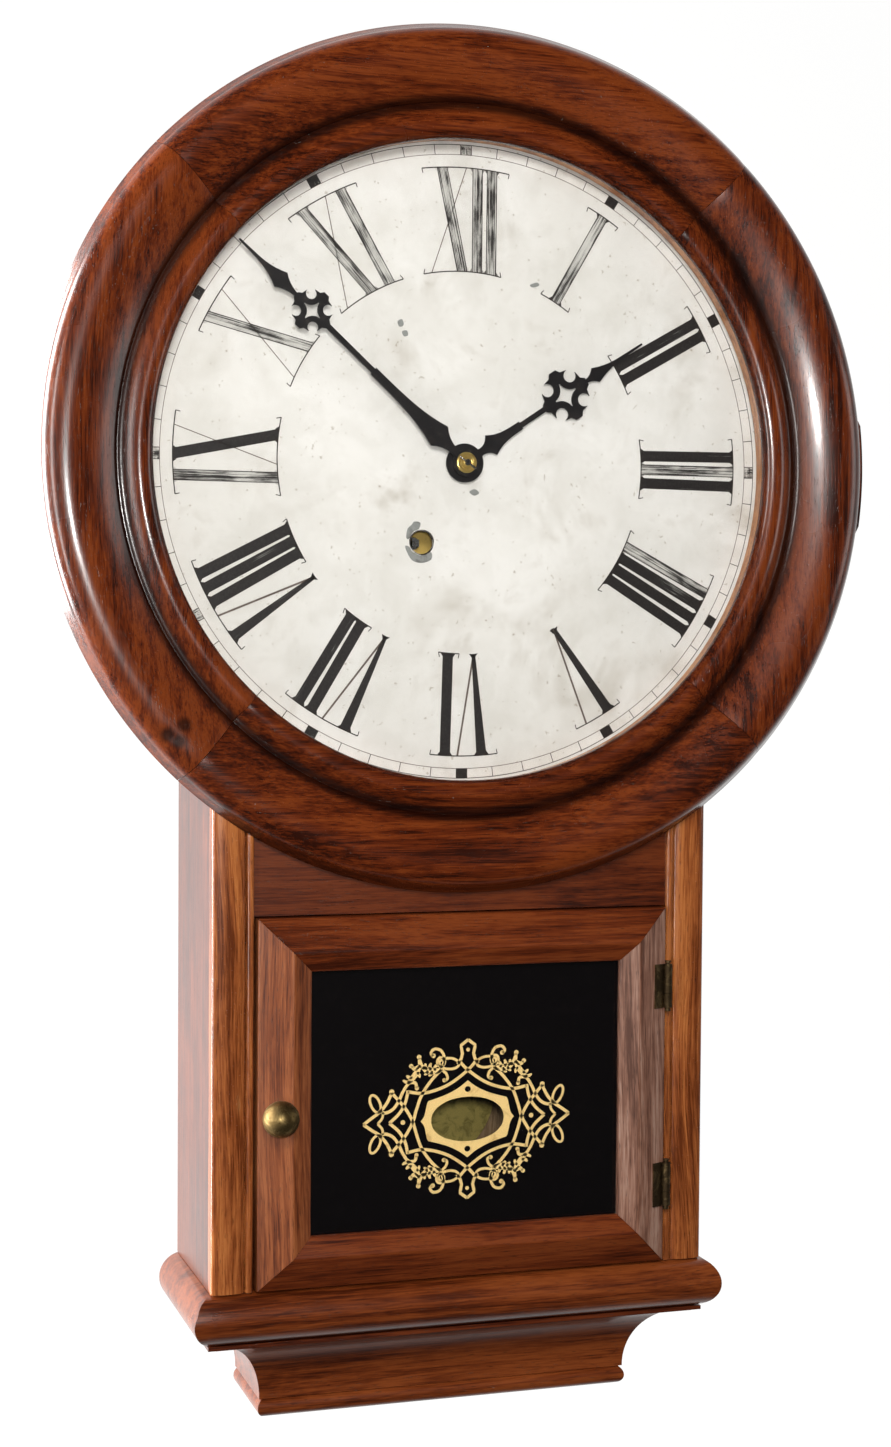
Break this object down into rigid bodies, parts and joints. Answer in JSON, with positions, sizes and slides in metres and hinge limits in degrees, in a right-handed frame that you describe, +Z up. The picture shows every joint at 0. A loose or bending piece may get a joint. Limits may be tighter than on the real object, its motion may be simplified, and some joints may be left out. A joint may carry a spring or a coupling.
{
  "type": "pendulum wall clock",
  "caption": "Drop-trunk wall clock with a hinged round wooden bezel over a Roman dial, a glazed pendulum door, a moulded base and a geared spring movement that swings a brass bob.",
  "frame": {"origin": "centre of the hanging hole, in the plane of the wall behind the clock", "axes": "+Z up, -Y out of the wall towards the viewer (the dial faces -Y), +X to the viewer's right; the wall is the plane y = 0"},
  "size_m": [0.41, 0.111, 0.6649],
  "materials": {
    "bezel_wood": "polished red-brown mahogany stain",
    "case_wood": "polished mahogany veneer",
    "column_wood": "glossy orange-brown varnish",
    "door_wood": "polished mahogany",
    "base_wood": "polished mahogany",
    "inner_wood": "plain unpolished wood",
    "dial_paper": "aged and stained printed paper",
    "zinc": "dull sheet zinc",
    "aged_brass": "tarnished brass",
    "movement_brass": "satin brass",
    "bob_brass": "polished brass",
    "steel": "polished steel",
    "black_iron": "satin black",
    "clear_glass": "thin clear window glass",
    "black_glass": "glass painted black behind",
    "printing_ink": "worn black printing",
    "gold_leaf": "gilt stencil on glass"
  },
  "bodies": {
    "root": {"back_board": "inner_wood", "left_side_board": "case_wood", "right_side_board": "case_wood", "top_board": "inner_wood", "bottom_board": "inner_wood", "left_column": "column_wood", "right_column": "column_wood", "frieze_panel": "case_wood", "door_stops": "inner_wood", "base_torus": "base_wood", "base_fascia": "base_wood", "base_cove": "base_wood", "base_foot": "base_wood", "dial_ring": "inner_wood", "dial_pan": "zinc", "dial_paper": "dial_paper", "hanger_plate": "aged_brass", "case_screws": "aged_brass", "bezel_hinges_fixed": "aged_brass", "door_hinges_fixed": "aged_brass", "front_plate": "movement_brass", "rear_plate": "movement_brass", "movement_pillars": "movement_brass", "mainspring": "steel", "suspension_cock": "movement_brass"},
    "bezel_door": {"bezel_top": "bezel_wood", "bezel_left": "bezel_wood", "bezel_bottom": "bezel_wood", "bezel_right": "bezel_wood", "bezel_glass": "clear_glass", "bezel_glazing_ring": "inner_wood", "bezel_hinges_moving": "aged_brass", "bezel_catch_pin": "aged_brass"},
    "bezel_hook": {"bezel_hook": "aged_brass"},
    "trunk_door": {"door_top_rail": "door_wood", "door_bottom_rail": "door_wood", "door_left_stile": "door_wood", "door_right_stile": "door_wood", "door_glass": "black_glass", "door_glazing_beads": "inner_wood", "door_hinges_moving": "aged_brass"},
    "door_latch": {"door_knob": "aged_brass", "door_latch_blade": "aged_brass"},
    "great_wheel": {"great_wheel": "movement_brass"},
    "winding_arbor": {"winding_arbor": "steel"},
    "click": {"click": "steel"},
    "second_wheel": {"second_wheel": "movement_brass"},
    "centre_wheel": {"centre_wheel": "movement_brass"},
    "third_wheel": {"third_wheel": "movement_brass"},
    "escape_wheel": {"escape_wheel": "movement_brass"},
    "minute_hand": {"centre_arbor": "steel", "minute_hand": "black_iron", "hand_washer": "movement_brass"},
    "minute_wheel": {"minute_wheel": "movement_brass"},
    "hour_hand": {"hour_wheel": "movement_brass", "hour_hand": "black_iron"},
    "pendulum": {"pendulum_rod": "steel"},
    "verge": {"verge": "steel"},
    "pendulum_bob": {"pendulum_bob": "bob_brass"},
    "rating_nut": {"rating_nut": "bob_brass"}
  },
  "joints": [
    {"name": "bezel_door_hinge", "type": "hinge", "parent": "root", "child": "bezel_door", "pos_m": [0.2007, -0.08665, -0.172], "axis": [0, 0, 1], "range_deg": [0, 105]},
    {"name": "bezel_hook_turn", "type": "hinge", "parent": "root", "child": "bezel_hook", "pos_m": [-0.1994, -0.072, -0.1697], "axis": [1, 0, 0], "range_deg": [0, 90]},
    {"name": "trunk_door_hinge", "type": "hinge", "parent": "root", "child": "trunk_door", "pos_m": [0.1028, -0.0896, -0.4744], "axis": [0, 0, 1], "range_deg": [0, 110]},
    {"name": "door_latch_turn", "type": "hinge", "parent": "trunk_door", "child": "door_latch", "pos_m": [-0.0939, -0.085, -0.478], "axis": [0, 1, 0], "range_deg": [-90, 0]},
    {"name": "hands_set", "type": "hinge", "parent": "root", "child": "minute_hand", "pos_m": [0, -0.07, -0.172], "axis": [0, 1, 0], "continuous": true},
    {"name": "minute_wheel_turn", "type": "hinge", "parent": "root", "child": "minute_wheel", "pos_m": [0.01559, -0.066, -0.163], "axis": [0, 1, 0], "continuous": true},
    {"name": "hour_hand_turn", "type": "hinge", "parent": "root", "child": "hour_hand", "pos_m": [0, -0.072, -0.172], "axis": [0, 1, 0], "continuous": true},
    {"name": "escape_wheel_turn", "type": "hinge", "parent": "root", "child": "escape_wheel", "pos_m": [0, -0.052, -0.144], "axis": [0, 1, 0], "continuous": true},
    {"name": "third_wheel_turn", "type": "hinge", "parent": "root", "child": "third_wheel", "pos_m": [0.01319, -0.045, -0.15697], "axis": [0, 1, 0], "continuous": true},
    {"name": "centre_wheel_turn", "type": "hinge", "parent": "root", "child": "centre_wheel", "pos_m": [0, -0.045, -0.172], "axis": [0, 1, 0], "continuous": true},
    {"name": "second_wheel_turn", "type": "hinge", "parent": "root", "child": "second_wheel", "pos_m": [-0.02114, -0.045, -0.17645], "axis": [0, 1, 0], "continuous": true},
    {"name": "great_wheel_turn", "type": "hinge", "parent": "root", "child": "great_wheel", "pos_m": [-0.0207, -0.03, -0.2102], "axis": [0, 1, 0], "continuous": true},
    {"name": "winding_turn", "type": "hinge", "parent": "great_wheel", "child": "winding_arbor", "pos_m": [-0.0207, -0.045, -0.2102], "axis": [0, 1, 0], "continuous": true},
    {"name": "click_lift", "type": "hinge", "parent": "great_wheel", "child": "click", "pos_m": [-0.0037, -0.0333, -0.2102], "axis": [0, 1, 0], "range_deg": [0, 8], "stiffness_Nm_per_rad": 0.002, "springref_deg": -5.73},
    {"name": "pendulum_swing", "type": "hinge", "parent": "root", "child": "pendulum", "pos_m": [0, -0.0175, -0.122], "axis": [0, 1, 0], "range_deg": [-2.5, 2.5]},
    {"name": "verge_rock", "type": "hinge", "parent": "root", "child": "verge", "pos_m": [0, -0.04, -0.122], "axis": [0, 1, 0], "range_deg": [-2.5, 2.5]},
    {"name": "bob_slide", "type": "slide", "parent": "pendulum", "child": "pendulum_bob", "axis": [0, 0, 1], "range_m": [-0.005, 0.005]},
    {"name": "rating_nut_turn", "type": "hinge", "parent": "pendulum_bob", "child": "rating_nut", "pos_m": [0, -0.0175, -0.528], "axis": [0, 0, 1], "range_deg": [-1801, 1801]}
  ],
  "couplings": [
    {"joint": "minute_wheel_turn", "follows": "hands_set", "ratio": -0.33333},
    {"joint": "hour_hand_turn", "follows": "hands_set", "ratio": 0.083333},
    {"joint": "third_wheel_turn", "follows": "escape_wheel_turn", "ratio": -0.12121},
    {"joint": "centre_wheel_turn", "follows": "escape_wheel_turn", "ratio": 0.013468},
    {"joint": "second_wheel_turn", "follows": "escape_wheel_turn", "ratio": -0.0026936},
    {"joint": "great_wheel_turn", "follows": "escape_wheel_turn", "ratio": 0.0004144},
    {"joint": "verge_rock", "follows": "pendulum_swing", "ratio": 1},
    {"joint": "rating_nut_turn", "follows": "bob_slide", "rad_per_m": 6283.2}
  ]
}
